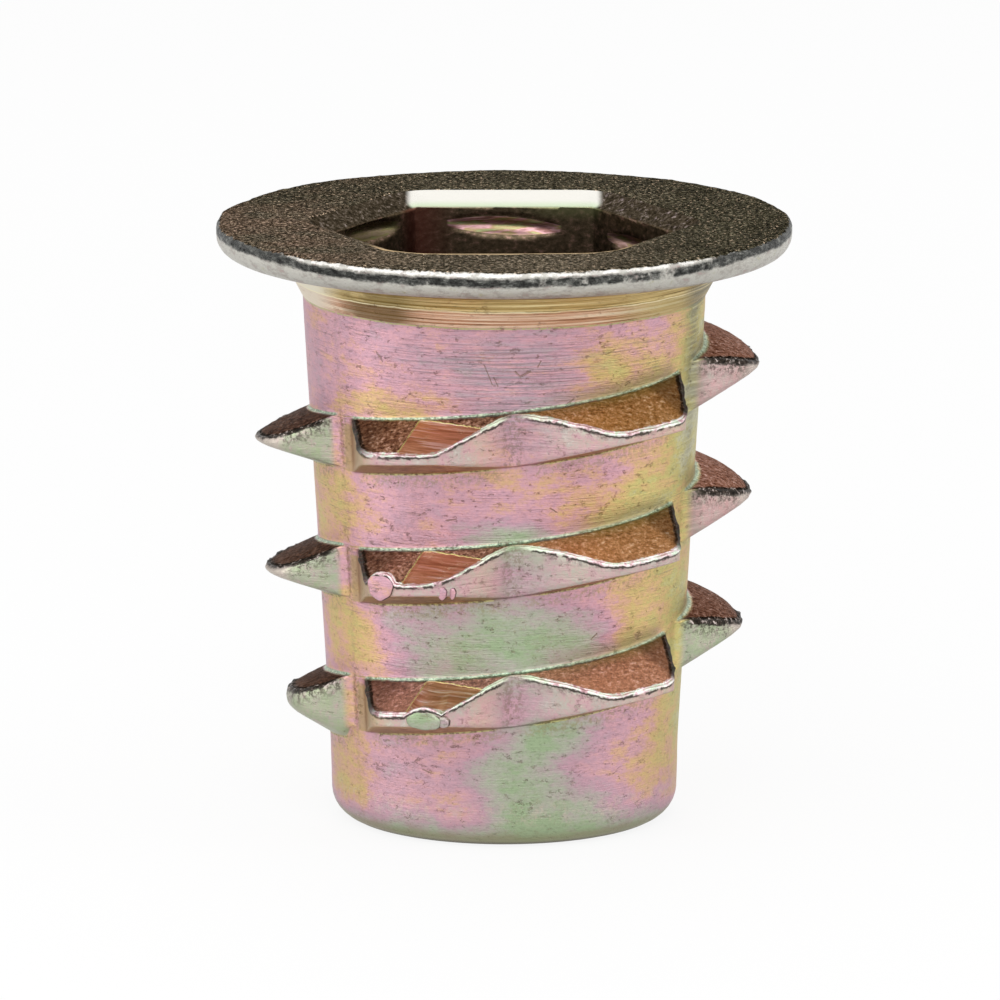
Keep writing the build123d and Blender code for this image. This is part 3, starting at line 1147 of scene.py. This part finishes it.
class CastingShader(Shader):
    """Iridescent satin zinc of the casting's outside, laid on layer by layer."""

    def __init__(self, name):
        super().__init__(name)
        self.streak = self.noise(1.4, (0.30, 0.30, 8.0), 4.0, 0.65)
        self.mottle = self.noise(1.9, (0.7, 0.7, 1.6), 6.0, 0.62)
        self.speckle = self.noise(11.0, detail=3.0, rough=0.7)
        self.lines = self.noise(1.7, (0.40, 0.40, 17.0), 5.0, 0.75)
        self.grain = self.noise(12.0, (0.7, 0.7, 1.6), 4.0, 0.75)
        self.pebble = self.noise(8.5, detail=5.0, rough=0.85)
        self.speck = self.noise(9.0, detail=4.0, rough=0.75).ramp(0.48, 0.56)
        # Distance from the crest, made ragged
        crest, root, foot, facet, stand = self.marks("crest", "root", "foot", "facet", "stand")
        self.ragged = (self.noise(6.0, detail=4.0, rough=0.75) - 0.5) * 0.20
        self.crest = crest + self.ragged
        # Where the flanks, facets, lands and proud parts of the ridge are
        self.side = self.mark("side")
        self.flank = crest.ramp(-0.05, -0.09) * root.ramp(-0.02, -0.05)
        self.facet = facet.ramp(0.0, 0.03)
        self.land = crest.ramp(-0.04, 0.0) * foot.ramp(0.0, -0.03)
        self.land = self.land * stand.ramp(0.05, self.side.blend(0.8, 0.2))
        self.proud = stand.ramp(0.10, 0.32)
        self.left = self.x.ramp(0.0, 0.8, 1.0, 0.0)

    def film(self):
        """The film's colour: broad patches, drawn streaks, and mottling down to the grain."""
        thickness = self.mark("film") + 0.515
        parts = (
            (self.noise(0.55, detail=3.0), 0.50),
            (self.streak, self.z.ramp(4.0, 9.0, 0.08, 0.17)),
            (self.mottle, 0.20),
            (self.mottle.ramp(0.40, 0.60), 0.09),
            (self.speckle, 0.22),
        )
        for source, amount in parts:
            thickness = (source - 0.5) * amount + thickness
        return thickness.tones("film")

    def wear(self, colour):
        """A paler left edge, drawn lines, small pits, flecks, cracks and grain."""
        worn, stand = self.marks("worn", "stand")
        patches = self.noise(0.8, (1, 1, 1.6), 3.0) + self.z.ramp(10.8, 12.4, 0.0, 0.12)
        patches = patches.ramp(0.44, 0.60) * self.z.ramp(3.0, 9.0, 0.35, 1.0)
        self.scratched = patches.maximum(worn)
        scratch = self.lines.ramp(worn.blend(0.55, 0.47), worn.blend(0.63, 0.58))
        scratch = scratch * self.scratched.blend(0.20, 1.0)
        self.flecks = self.noise(4.2, (0.75, 0.75, 1.6), 5.0, 0.8).ramp(0.60, 0.65)
        self.dents = self.stroke(*strokes[0])
        for stroke in strokes[1:]:
            self.dents = self.stroke(*stroke).maximum(self.dents)
        pits = self.noise(5.5, (1, 1, 1.7), 5.0, 0.7).ramp(0.66, 0.71)
        crack = self.noise(2.2, (0.8, 0.8, 1.6), 5.0, 0.65).band(0.492, 0.500, 0.005)
        crack = crack * self.noise(0.9).ramp(0.50, 0.58)
        colour = colour.under("cream_edge", self.x.ramp(-4.85, -4.15, 0.85, 0.0) * stand.ramp(0.3, 0.0))
        colour = colour.under("worn_grey", worn * self.streak.ramp(0.42, 0.60, 0.0, 0.5))
        colour = colour.under("scratch", scratch * worn.blend(0.50, 0.54))
        colour = colour.under("fleck", self.flecks * 0.34)
        colour = colour.under("dent", self.dents * 0.55)
        colour = colour.under("pit", pits * 0.65)
        colour = colour.under("crack", crack * 0.60)
        return colour.under(self.grain.tones("grain"), 0.60, "MULTIPLY")

    def flanks(self, colour):
        """Granular top flanks, their brown a painted reflection of the dark flange above, darker on the left
        lobes and the side lobes, with painted light away from the root, painted shade near it and where the
        lobes end, and smooth cut facets with a painted highlight on their upper edge.
        """
        root, facet, end = self.marks("root", "facet", "end")
        top_turn = self.z.ramp(4.0, 9.5)
        lower_turn = 1.0 - top_turn
        # Painted light: the flanks are lighter away from the root, less so on the right
        glow = root.ramp(-0.10, -0.40) * self.x.ramp(3.6, 1.8, 0.3, 1.0)
        bright = self.pebble.tones("bright_flank").under("flank_painted_light", glow * 0.30)
        dark = self.pebble.tones("dark_flank")
        front = bright.under(dark, self.left * top_turn.blend(0.55, 1.0))
        rosy = front.under("rosy_filter", 1.0, "MULTIPLY").under("rosy_veil", 0.08)
        front = front.under(rosy, lower_turn)
        # Painted shade in the fillet near the root on the right
        near_root = root.ramp(-0.20, -0.03) * self.x.ramp(0.6, 2.4) * (1.0 - self.side)
        front = front.under("root_fillet_shade", near_root * 0.50)
        # Painted shadow on the flanks where the lobes end
        front = front.under("flank_shadow", end * (1.0 - self.side) * 0.48)
        side = self.pebble.tones("side_flank")
        right = self.pebble.tones("mauve_flank").under(side, lower_turn * 0.6)
        both = front.under(right.under(side, self.left), self.side)
        # Smooth striated facets beside the notches
        cut = self.noise(1.2, (0.6, 0.6, 26.0), 4.0, 0.65)
        both = both.under(cut.tones("facet"), self.facet)
        gouge = self.facet * self.noise(1.0, (0.5, 0.5, 30.0)).ramp(0.60, 0.64)
        both = both.under("gouge", gouge * 0.7)
        # Painted highlight along the facet's upper edge
        edge = facet.band(-0.005, 0.022, 0.010) * root.ramp(-0.02, -0.05)
        both = both.under("facet_edge_highlight", edge * self.pebble.ramp(0.40, 0.50))
        return colour.under(both, self.flank)

    def lands(self, colour):
        """Paler lands with burrs, their painted shadows and dark specks, and the ochre undersides of the
        front lobes.
        """
        under, stand, notch_line = self.marks("under", "stand", "notch")
        mottle = self.noise(3.0, detail=6.0, rough=0.85)
        low_turn = self.z.ramp(5.2, 6.4, 1.0, 0.0)
        side = mottle.tones("pink_land").under(mottle.tones("green_land"), self.left.maximum(low_turn))
        land = mottle.tones("land").under(side, self.side)
        colour = colour.under(land, self.land * self.side.blend(0.75, 0.92))
        below = under.ramp(-0.02, 0.02) * stand.ramp(0.25, 0.6) * (1.0 - self.side)
        colour = colour.under(self.noise(3.0, (1, 1, 2), 4.0, 0.7).tones("ochre"), below * 0.9)
        near_crest = self.crest.ramp(0.10, 0.55, 1.0, 0.0) * self.side * self.land
        colour = colour.under("crest_speck", self.speck * near_crest * 0.8)
        burred = self.crest.ramp(0.08, 0.32, 1.0, 0.0) * self.land * self.x.ramp(0.2, 0.6)
        burred = burred * notch_line.ramp(1.6, 2.6, 1.0, 0.2)
        burr = self.noise(5.0, detail=6.0, rough=0.9)
        colour = colour.under("pale_burr", burr.ramp(0.52, 0.56) * burred)
        # Painted shadows of the burrs
        colour = colour.under("burr_shadow", burr.ramp(0.47, 0.43) * burred)
        peach = self.left * self.land * notch_line.ramp(0.3, 1.4, 1.0, 0.0) * (1.0 - self.side)
        return colour.under("peach", peach * 0.45)

    def lips(self, colour):
        """Painted highlight on the rough lip, partly worn bright zinc, over a painted shadow line; painted
        shade where the lobes end, and a dark lip on the side lobes.
        """
        stand, root, foot, end, tip, notch_line = self.marks("stand", "root", "foot", "end", "tip", "notch")
        # Painted shadow: a dark line under the lip
        line = self.crest.band(0.055, 0.115, 0.018) * self.proud
        line = line * self.noise(3.0).ramp(0.36, 0.46)
        colour = colour.under("lip_shadow_line", line * 0.9)
        # Painted highlight along the lip, partly worn bright zinc, greener near the notches
        bright = self.noise(5.0, detail=3.0, rough=0.7).tones("lip")
        bright = bright.under("lip_green", notch_line.ramp(0.5, 1.1, 1.0, 0.0) * 0.6)
        dark = self.noise(8.0, detail=4.0, rough=0.75).tones("dark_lip")
        front = self.crest.band(-0.11, 0.050, 0.018) * self.proud
        side = self.crest.band(-0.15, 0.085, 0.03) * self.proud
        self.lip = self.side.blend(front, side)
        colour = colour.under(bright.under(dark, self.side), self.lip)
        pale_tip = tip.ramp(-0.20, -0.10) * self.crest.ramp(0.02, 0.10) * self.side * stand.ramp(0.9, 1.2)
        colour = colour.under("lobe_tip", pale_tip * 0.8)
        end_wall = self.crest.ramp(0.05, 0.12) * end * self.left * foot.ramp(0.0, -0.03)
        colour = colour.under("end_wall", end_wall * 0.8)
        # Painted shade along the crest where the lobes end
        self.end_shade_mask = self.crest.band(-0.22, 0.07, 0.04) * end * stand.ramp(-0.02, 0.15)
        self.end_shade_mask = self.end_shade_mask * root.ramp(0.02, -0.04)
        end_shade_paint = self.mix(self.pebble.ramp(0.54, 0.62), "end_shade_black", "end_shade_brown")
        return colour.under(end_shade_paint, self.end_shade_mask * 0.93)

    def seams(self, colour):
        """Lines at the ridge's root and foot, dirt at the notches and the parting lines, and painted olive
        shade above the root.
        """
        stand, root, foot, notch_line, parting = self.marks("stand", "root", "foot", "notch", "parting")
        ragged_root = root + self.ragged * 0.35
        root_line = ragged_root.band(-0.030, 0.035, 0.015) * stand.ramp(0.0, 0.12)
        colour = colour.under(self.speckle.tones("root_line"), root_line * 0.9)
        ragged_foot = foot + self.ragged * 0.35
        foot_line = ragged_foot.band(-0.01, 0.045, 0.015) * stand.ramp(0.2, 0.5)
        colour = colour.under(self.speckle.tones("foot_line"), foot_line * 0.85)
        below = ragged_foot.band(0.03, 0.34, 0.12) * stand.ramp(0.0, 0.4)
        colour = colour.under("foot_dirt", below * self.speck * 0.45)
        near_notch = (notch_line + self.ragged * 0.8).ramp(0.16, 0.34, 1.0, 0.0)
        near_notch = near_notch * foot.ramp(0.15, -0.1) * root.ramp(0.15, 0.0)
        colour = colour.under("notch_dirt", self.speck * near_notch * 0.50)
        near_parting = (parting + self.ragged * 0.5).ramp(0.06, 0.26, 1.0, 0.0) * self.speck
        beside = foot.ramp(0.10, 0.0) * root.ramp(0.10, 0.0)
        colour = colour.under("parting_dirt", near_parting * beside.blend(0.25, 0.75))
        # Painted olive shade above the root on the right
        over_root = root.ramp(0.02, 0.55, 1.0, 0.0) * root.ramp(-0.02, 0.02)
        over_root = over_root * self.x.ramp(0.6, 3.0) * stand.ramp(0.0, 0.5)
        return colour.under("root_shade", over_root * 0.80)

    def neck(self, colour):
        """Golden neck over a copper band of turned lines, with painted dark reflections on the left, a
        painted glint line and a paler left edge.
        """
        turned = self.noise(1.0, (0.15, 0.15, 24.0), 4.0, 0.75)
        level = (self.mottle - 0.5) * 0.10 + self.z
        # Painted dark reflections on the left of the neck
        brown = self.x.band(-3.9, -2.3, 0.4) * self.noise(1.0, detail=3.0).ramp(0.36, 0.50)
        pale = self.x.ramp(-4.7, -3.9, 1.0, 0.0)
        copper = turned.tones("copper").under("copper_dark_reflection", brown * 0.8)
        copper = copper.under("lemon", self.x.ramp(2.0, 4.0) * 0.6).under("pale_copper", pale)
        gold = turned.tones("gold").under("gold_dark_reflection", brown * 0.6).under("pale_gold", pale)
        colour = colour.under(copper, level.ramp(neck_foot + 0.03, neck_foot + 0.06))
        colour = colour.under(gold, level.ramp(gold_foot, gold_foot + 0.06))
        colour = colour.under("turned_glint", level.band(gold_foot + 0.03, gold_foot + 0.06, 0.012) * 0.8)
        neck_line = level.band(neck_foot, neck_foot + 0.04, 0.012) * self.speckle.ramp(0.38, 0.46)
        return colour.under("neck_line", neck_line * 0.9)

    def nose(self, colour):
        """Painted shade on the dull rim and end of the nose, a painted dark reflection along the right side,
        and painted shade on the lower end of the shank.
        """
        stand = self.mark("stand")
        dab = self.z.band(0.62, 1.15, 0.15) * self.noise(5.0, (1.0, 1.0, 0.8), 5.0, 0.8).ramp(0.50, 0.58)
        colour = colour.under("nose_dab", dab * 0.36)
        # Painted shade round the rim and the end of the nose
        rim = ((self.mottle - 0.5) * 0.4 + self.z).ramp(0.22, 0.50, 0.75, 0.0)
        colour = colour.under("nose_rim_shade", rim)
        colour = colour.under("nose_end_shade", self.z.ramp(0.05, 0.17, 0.85, 0.0))
        # Painted dark reflection along the right edge of the shank
        shade = self.x.ramp(4.30, 4.75) * stand.ramp(0.4, 0.0) * self.streak.ramp(0.36, 0.56, 0.25, 0.75)
        colour = colour.under("olive_painted_shade", shade)
        # Painted shade, darker towards the bottom
        return colour.under("olive_painted_shade", self.z.ramp(0.6, 4.5, 0.12, 0.0))

    def relief(self):
        """Bump of the drawn lines, dents, grain, mottling and pebbles."""
        normal = self.bump(self.lines * self.scratched.blend(0.5, 1.0), 0.030, 0.8)
        normal = self.bump(1.0 - self.flecks.maximum(self.dents), 0.030, 0.9, normal)
        normal = self.bump(self.grain, 0.014, 0.7, normal)
        normal = self.bump(self.mottle, 0.020, 0.4, normal)
        coarse = self.pebble * self.flank * (1.0 - self.facet) * self.x.ramp(0.4, 1.4, 1.0, 0.6)
        return self.bump(coarse, 0.07, 0.9, normal)

    def roughness(self):
        """Roughness of the shank, flanks, facets, lip and dark ends."""
        rough = self.facet.blend(self.flank.blend(0.40, 0.36), 0.30)
        return self.end_shade_mask.blend(self.lip.blend(rough, 0.42), 0.55)


def body_material():
    """Iridescent satin zinc of the casting's outside."""
    s = CastingShader("chromated_casting")
    colour = s.film()
    for layer in (s.wear, s.flanks, s.lands, s.lips, s.seams, s.neck, s.nose):
        colour = layer(colour)
    return s.finish(colour, s.roughness(), s.flank.blend(0.8, 0.25), s.relief())


def flange_material():
    """Dark grained top of the flange, a painted dark reflection, with its painted highlight edge, rough
    painted dark reflection band and pale rim painted as a reflection of the floor.
    """
    s = Shader("chromated_flange")
    band, rim, mouth, front = s.marks("band", "rim", "mouth", "front")
    grain = s.noise(9.0, (1.0, 1.5, 1.0), 5.0, 0.8)
    broad = s.noise(0.7, detail=3.0)
    top = grain.tones("top_grain_and_reflection")
    mauve = s.x.ramp(-5.5, -1.0, 1.0, 0.0) * broad.ramp(0.36, 0.60)
    top = top.under(top.under("mauve_filter", 1.0, "MULTIPLY"), mauve * 0.45)
    top = top.under(broad.tones("cloud"), 1.0, "MULTIPLY")
    # Painted reflection: darker and greyer towards the back and the right
    away = s.x.ramp(1.5, 5.0).maximum(s.y.ramp(0.0, 4.0, 0.0, 0.8))
    top = top.under(top.under("far_sheen_filter", 1.0, "MULTIPLY"), away)
    top = top.under("top_glint", s.noise(13.0).ramp(0.64, 0.70))

    # The painted dark reflection band round the rim is dense at the sides and broken at the front
    side = s.noise(3.0, (0.7, 0.7, 1.4), 6.0, 0.8).tones("rim")
    dark = s.noise(5.0, (0.6, 0.6, 1.3), 5.0, 0.8).tones("rim_reflection_band")
    ragged_band = band + (s.noise(3.4, (0.6, 0.6, 1), 5.0, 0.75) - 0.5) * 0.24
    dense = s.noise(1.3, detail=4.0, rough=0.7).ramp(front.blend(0.10, 0.30), front.blend(0.20, 0.44))
    on_band = ragged_band.ramp(-0.15, -0.07)
    on_band = on_band * ragged_band.ramp(front.blend(0.40, 0.06), front.blend(0.50, 0.14), 1.0, 0.0)
    colour = side.under(dark, on_band * dense)
    # Painted highlight along the rim's top edge at the front
    bright = ragged_band.ramp(0.12, 0.16) * front
    bright = bright * s.noise(2.6, detail=4.0, rough=0.7).ramp(0.40, 0.52, 0.15, 1.0)
    colour = colour.under("rim_highlight", bright)

    # The top begins at a ragged edge and ends at the mouth's lip, with a painted highlight on its front
    ragged_rim = rim + (s.noise(4.0, detail=4.0, rough=0.7) - 0.5) * 1.2
    on_top = ragged_rim.ramp(0.50, 0.72)
    colour = colour.under(top, on_top)
    lip = mouth.band(-0.035, 0.02, 0.012) * s.y.ramp(-3.0, -4.2)
    colour = colour.under("mouth_highlight", lip * 0.8)
    return s.finish(colour, on_top.blend(0.36, 0.50), on_top.blend(0.9, 0.16), s.bump(grain, 0.06, 0.8))


def bore_material():
    """Dark socket walls with brighter cut marks and thread, and a painted highlight on the mouth chamfer at
    the back.
    """
    s = Shader("chromated_bore")
    groove = s.mark("groove")
    grain = s.noise(5.0, (1, 1, 1.5), 5.0, 0.7)
    near_mouth = s.z.ramp(14.2, 14.6) * s.y.ramp(3.3, 3.6) * (s.x + grain * 2.0).ramp(1.0, 2.6)
    wall = grain.tones("wall").under("wall_olive", near_mouth * 0.6)
    reddish = s.x.band(-2.9, -1.6, 0.5) * s.y.ramp(3.0, 3.6)
    wall = wall.under("wall_red", reddish * 0.6)
    beside = s.x.absolute().ramp(2.3, 2.7) * s.x.ramp(-2.0, 2.0, 0.85, 0.45)
    cut = s.noise(1.6, (1, 1, 6), 3.0).tones("cut").under("cut_olive", beside)
    colour = wall.under(cut, groove.ramp(0.0, 0.03))

    # The mouth's chamfer carries a painted highlight at the back and is rough elsewhere, with crumbs on the
    # right
    chamfer = s.z.ramp(mouth_foot - 0.02, mouth_foot + 0.03)
    back = s.y.ramp(3.55, 3.75) * s.x.absolute().ramp(2.30, 2.50, 1.0, 0.0)
    crumbs = s.noise(5.0, detail=5.0, rough=0.8).ramp(0.56, 0.66) * s.x.ramp(2.2, 2.8)
    rough_chamfer = s.noise(9.0, detail=5.0, rough=0.8).tones("chamfer").under("crumb", crumbs * 0.45)
    greenish = s.z.ramp(mouth_foot, mouth_foot + 0.16, 1.0, 0.0)
    bright_chamfer = s.mix(greenish * 0.8, "chamfer_highlight", "chamfer_green_highlight")
    colour = colour.under(rough_chamfer.under(bright_chamfer, back), chamfer)
    rough = chamfer.blend(0.40, back.blend(0.50, 0.38))
    return s.finish(colour, rough, back.blend(0.3, 1.0), s.bump(grain, 0.008, 0.4))


# Stage: the photograph's camera, fitted to the ellipses of the flange and nose, and soft light

camera_distance = 305.10
camera_rise = radians(11.80)
camera_target = 7.163
camera_lens = 442.08
sensor_width = 36.0
frame_width = 1000
axis_pixel = (504.16, 529.78)
floor_half_width = 0.8
floor_grey = 0.80
floor_glow = 0.88
world_light = 0.80
# Softboxes: bearing, rise, distance, size and radiance, where 1 shows as white in a mirror
softboxes = {
    "front_softbox": (-10, 42, 130, 90, 2.4),
    "left_softbox": (-75, 20, 130, 90, 1.7),
    "right_softbox": (78, 20, 130, 90, 1.6),
    "back_softbox": (180, 40, 140, 90, 1.0),
}


def aimed(bearing, rise, distance, target_height):
    """Placement at a bearing, rise and distance from a target on the axis, looking at it."""
    target = Vector((0, 0, target_height)) * MM
    outward = Vector((sin(bearing) * cos(rise), -cos(bearing) * cos(rise), sin(rise)))
    turn = (-outward).to_track_quat("-Z", "Y").to_matrix().to_4x4()
    return Matrix.Translation(target + outward * distance * MM) @ turn


def add_camera():
    """Camera at the photograph's angle."""
    data = bpy.data.cameras.new("camera")
    data.sensor_width = sensor_width
    data.lens = camera_lens
    data.shift_x = (frame_width / 2 - axis_pixel[0]) / frame_width
    data.shift_y = (axis_pixel[1] - frame_width / 2) / frame_width
    data.clip_start = 0.01
    data.clip_end = 10.0
    camera = bpy.data.objects.new("camera", data)
    camera.matrix_world = aimed(0, camera_rise, camera_distance, camera_target)
    bpy.context.scene.collection.objects.link(camera)
    bpy.context.scene.camera = camera


def add_softbox(name, bearing, rise, distance, size, radiance):
    """Square lamp that faces the part."""
    data = bpy.data.lights.new(name, "AREA")
    data.shape = "SQUARE"
    data.size = size * MM
    data.energy = radiance * pi * (size * MM) ** 2
    lamp = bpy.data.objects.new(name, data)
    lamp.matrix_world = aimed(radians(bearing), radians(rise), distance, total_height / 2)
    bpy.context.scene.collection.objects.link(lamp)


def seen_directly(nodes, links):
    """1 where the camera sees a place, also in a reflection or through glass, and 0 elsewhere."""
    path = nodes.new("ShaderNodeLightPath")
    total = path.outputs["Is Camera Ray"]
    for ray in ("Is Glossy Ray", "Is Transmission Ray"):
        join = nodes.new("ShaderNodeMath")
        join.operation = "MAXIMUM"
        links.new(total, join.inputs[0])
        links.new(path.outputs[ray], join.inputs[1])
        total = join.outputs[0]
    return total


def add_floor():
    """Pale floor that shows nearly white and keeps the part's shadow."""
    size = floor_half_width
    mesh = bpy.data.meshes.new("floor")
    corners = [(-size, -size, 0), (size, -size, 0), (size, size, 0), (-size, size, 0)]
    mesh.from_pydata(corners, [], [(0, 1, 2, 3)])
    floor = bpy.data.objects.new("floor", mesh)
    bpy.context.scene.collection.objects.link(floor)
    material = bpy.data.materials.new("pale_floor")
    material.use_nodes = True
    nodes = material.node_tree.nodes
    links = material.node_tree.links
    nodes.clear()
    output = nodes.new("ShaderNodeOutputMaterial")
    diffuse = nodes.new("ShaderNodeBsdfDiffuse")
    diffuse.inputs["Color"].default_value = (floor_grey, floor_grey, floor_grey, 1)
    glow = nodes.new("ShaderNodeEmission")
    share = nodes.new("ShaderNodeMath")
    share.operation = "MULTIPLY"
    share.inputs[1].default_value = floor_glow
    blend = nodes.new("ShaderNodeMixShader")
    links.new(seen_directly(nodes, links), share.inputs[0])
    links.new(share.outputs[0], blend.inputs[0])
    links.new(diffuse.outputs[0], blend.inputs[1])
    links.new(glow.outputs[0], blend.inputs[2])
    links.new(blend.outputs[0], output.inputs[0])
    mesh.materials.append(material)


def add_world():
    """Surroundings that the camera sees as white."""
    world = bpy.data.worlds.new("surroundings")
    bpy.context.scene.world = world
    world.use_nodes = True
    nodes = world.node_tree.nodes
    links = world.node_tree.links
    background = nodes["Background"]
    background.inputs["Color"].default_value = (1, 1, 1, 1)
    level = nodes.new("ShaderNodeMapRange")
    level.inputs["To Min"].default_value = world_light
    level.inputs["To Max"].default_value = 1.0
    links.new(seen_directly(nodes, links), level.inputs["Value"])
    links.new(level.outputs[0], background.inputs["Strength"])


bpy.context.scene.view_settings.view_transform = "Standard"
add_camera()
add_floor()
add_world()
for name, settings in softboxes.items():
    add_softbox(name, *settings)
casting_skin = body_material()
build_body().data.materials.append(casting_skin)
for lump in lumps:
    build_lump(*lump).data.materials.append(casting_skin)
build_flange().data.materials.append(flange_material())
build_bore().data.materials.append(bore_material())
